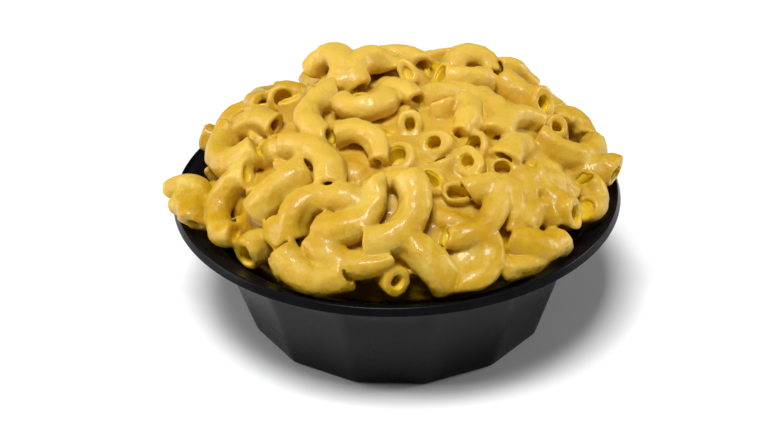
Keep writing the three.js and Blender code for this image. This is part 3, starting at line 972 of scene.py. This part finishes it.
# the pasta's lower stop is the same colour, painted lighter for the light inside the tubes
PASTA_STOPS = ((0.35, BORE_PAINTED_LIGHT_COLOUR), (0.65, (0.79, 0.56, 0.025)))
PLASTIC_STOPS = ((0.35, (0.004, 0.004, 0.005)), (0.7, (0.006, 0.006, 0.0075)))
FLOOR_COLOUR = (0.95, 0.95, 0.95)
NOISE_RANGE = (0.3, 0.7)  # within which most of a noise lies
SHARE, FROM_COLOUR, TO_COLOUR, MIXED_COLOUR = 0, 6, 7, 2  # sockets of the colour mix node


def set_sockets(node, values):
    for name, value in values.items():
        node.inputs[name].default_value = value


class Look:
    """A new material, with its shader's constants, and short ways to add linked nodes."""

    def __init__(self, name, constants):
        self.material = bpy.data.materials.new(name)
        self.material.use_nodes = True
        self.nodes = self.material.node_tree.nodes
        self.link = self.material.node_tree.links.new
        self.shader = self.nodes["Principled BSDF"]
        set_sockets(self.shader, constants)

    def shade(self, socket, value):
        self.link(value, self.shader.inputs[socket])

    def position(self):
        return self.nodes.new("ShaderNodeTexCoord").outputs["Object"]

    def height(self):
        """Height in metres."""
        added = self.nodes.new("ShaderNodeSeparateXYZ")
        self.link(self.position(), added.inputs[0])
        return added.outputs["Z"]

    def attribute(self, name):
        added = self.nodes.new("ShaderNodeAttribute")
        added.attribute_name = name
        return added.outputs["Fac"]

    def noise(self, scale, detail, roughness):
        added = self.nodes.new("ShaderNodeTexNoise")
        set_sockets(added, {"Scale": scale, "Detail": detail, "Roughness": roughness})
        self.link(self.position(), added.inputs["Vector"])
        return added.outputs["Fac"]

    def scaled(self, value, factor, offset):
        """value * factor + offset, where the offset is a number or another node's output."""
        added = self.nodes.new("ShaderNodeMath")
        added.operation = "MULTIPLY_ADD"
        self.link(value, added.inputs[0])
        added.inputs[1].default_value = factor
        if isinstance(offset, float):
            added.inputs[2].default_value = offset
        else:
            self.link(offset, added.inputs[2])
        return added.outputs[0]

    def ranged(self, value, source, target):
        """The value's place in the source range, carried over to the target range and held to it."""
        added = self.nodes.new("ShaderNodeMapRange")
        names = ("From Min", "From Max", "To Min", "To Max")
        set_sockets(added, dict(zip(names, (*source, *target))))
        self.link(value, added.inputs["Value"])
        return added.outputs["Result"]

    def ramp(self, value, stops):
        added = self.nodes.new("ShaderNodeValToRGB")
        elements = added.color_ramp.elements
        while len(elements) < len(stops):
            elements.new(0.5)
        for element, (place, colour) in zip(elements, stops):
            element.position = place
            element.color = (*colour, 1)
        self.link(value, added.inputs["Fac"])
        return added.outputs["Color"]

    def mixed(self, colour, other, share):
        """The colour, mixed with a share of the other."""
        added = self.nodes.new("ShaderNodeMix")
        added.data_type = "RGBA"
        added.inputs[TO_COLOUR].default_value = (*other, 1)
        self.link(share, added.inputs[SHARE])
        self.link(colour, added.inputs[FROM_COLOUR])
        return added.outputs[MIXED_COLOUR]

    def bump(self, height, strength, distance):
        added = self.nodes.new("ShaderNodeBump")
        set_sockets(added, {"Strength": strength, "Distance": distance})
        self.link(height, added.inputs["Height"])
        self.shade("Normal", added.outputs["Normal"])


def sauce_material():
    constants = {
        "Subsurface Weight": 0.6,
        "Subsurface Radius": (1.0, 0.55, 0.12),
        "Subsurface Scale": 0.0024,
        "Specular IOR Level": 0.34,
        "Coat Weight": 0.18,
        "Coat Roughness": 0.1,
    }
    look = Look("cheese_sauce", constants)
    broad = look.noise(scale=55, detail=3, roughness=0.5)
    patches = look.noise(scale=190, detail=3, roughness=0.6)
    uneven = look.scaled(patches, factor=0.7, offset=look.scaled(broad, factor=0.7, offset=-0.27))
    uneven = look.scaled(look.attribute("tone"), factor=0.14, offset=uneven)
    colour = look.ramp(uneven, SAUCE_STOPS)
    # painted light: the sauce is painted paler towards the top of the heap
    high = look.ranged(look.height(), source=(0.064, 0.09), target=(0, 0.78))
    colour = look.mixed(colour, TOP_PAINTED_LIGHT_COLOUR, high)
    # painted shade: darker sauce between the noodles and deep under the heap, partly also the deeper colour
    # of thicker sauce
    deep = look.ranged(look.attribute("pool_shade"), source=(0.2, 1.0), target=(0, 0.85))
    colour = look.mixed(colour, POOL_SHADE_COLOUR, deep)
    mouth = look.attribute("mouth")
    near = look.ranged(mouth, source=(0.4, 1.8), target=(0.4, 0))
    colour = look.mixed(colour, MOUTH_COLOUR, near)
    # painted light: the sauce inside the bores takes the lighter bore colour
    within = look.ranged(mouth, source=(0.1, 0.5), target=(1, 0))
    colour = look.mixed(colour, BORE_PAINTED_LIGHT_COLOUR, within)
    look.shade("Base Color", colour)
    look.shade("Roughness", look.ranged(broad, source=NOISE_RANGE, target=(0.36, 0.54)))
    fine = look.noise(scale=260, detail=5, roughness=0.6)
    grain = look.noise(scale=700, detail=3, roughness=0.6)
    look.bump(look.scaled(grain, factor=0.4, offset=fine), strength=0.48, distance=0.0012)
    return look.material


def pasta_material():
    constants = {
        "Subsurface Weight": 0.4,
        "Subsurface Radius": (1.0, 0.6, 0.2),
        "Subsurface Scale": 0.002,
        "Roughness": 0.3,
    }
    look = Look("pasta", constants)
    broad = look.noise(scale=90, detail=3, roughness=0.5)
    look.shade("Base Color", look.ramp(broad, PASTA_STOPS))
    return look.material


def plastic_material():
    look = Look("black_plastic", {"Specular IOR Level": 0.1})
    broad = look.noise(scale=35, detail=4, roughness=0.6)
    look.shade("Base Color", look.ramp(broad, PLASTIC_STOPS))
    look.shade("Roughness", look.ranged(broad, source=NOISE_RANGE, target=(0.22, 0.32)))
    look.bump(look.noise(scale=1800, detail=2, roughness=0.5), strength=0.12, distance=0.0001)
    return look.material


def floor_material():
    constants = {"Base Color": (*FLOOR_COLOUR, 1), "Roughness": 0.9, "Specular IOR Level": 0.1}
    return Look("floor", constants).material


# ---------------------------------------------------------------- pieces

noodles = lay_noodles()
for noodle in noodles:
    give_character(noodle)

tubes, tube_faces = joined([tube_mesh(noodle) for noodle in noodles])
pasta = new_object("elbow_macaroni", eased_in(tubes), tube_faces)
pasta.data.materials.append(pasta_material())
sauce = make_sauce(noodles)
sauce.data.materials.append(sauce_material())
bowl = make_bowl()
bowl.data.materials.append(plastic_material())

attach(bowl, "root")
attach(pasta, "root")
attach(sauce, "root")
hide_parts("bowl")
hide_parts("macaroni")
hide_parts("macaroni")

# ---------------------------------------------------------------- floor and light, in metres

FLOOR_HALF = 3000  # mm from its middle to its sides
FLOOR_DROP = 0.02  # mm under the bowl's base
WORLD_STRENGTH = 0.045
AIM = (0, 0, 0.06)  # of the softboxes at the sides


def make_floor():
    corners = ((-1, -1), (1, -1), (1, 1), (-1, 1))
    vertices = [(x * FLOOR_HALF, y * FLOOR_HALF, -FLOOR_DROP) for x, y in corners]
    return new_object("floor", vertices, [(0, 1, 2, 3)], smooth=False)


def softbox(name, place, aim, size, watts):
    data = bpy.data.lights.new(name, "AREA")
    data.shape = "RECTANGLE"
    data.size, data.size_y = size
    data.energy = watts
    lamp = bpy.data.objects.new(name, data)
    lamp.location = place
    lamp.rotation_euler = (Vector(aim) - Vector(place)).to_track_quat("-Z", "Y").to_euler()
    scene.collection.objects.link(lamp)


floor = make_floor()
floor.data.materials.append(floor_material())

scene = bpy.context.scene
scene.view_settings.view_transform = "Standard"
scene.view_settings.look = "None"
world = bpy.data.worlds.new("studio")
world.use_nodes = True
set_sockets(world.node_tree.nodes["Background"], {"Color": (1, 1, 1, 1), "Strength": WORLD_STRENGTH})
scene.world = world
softbox("top", place=(-0.28, -0.8, 2.2), aim=(0, 0, 0.05), size=(0.8, 0.6), watts=55.5)
softbox("left", place=(-1.0, 0.0, 0.4), aim=AIM, size=(0.5, 0.5), watts=5.0)
softbox("right", place=(1.0, 0.1, 0.35), aim=AIM, size=(0.4, 0.4), watts=4.3)
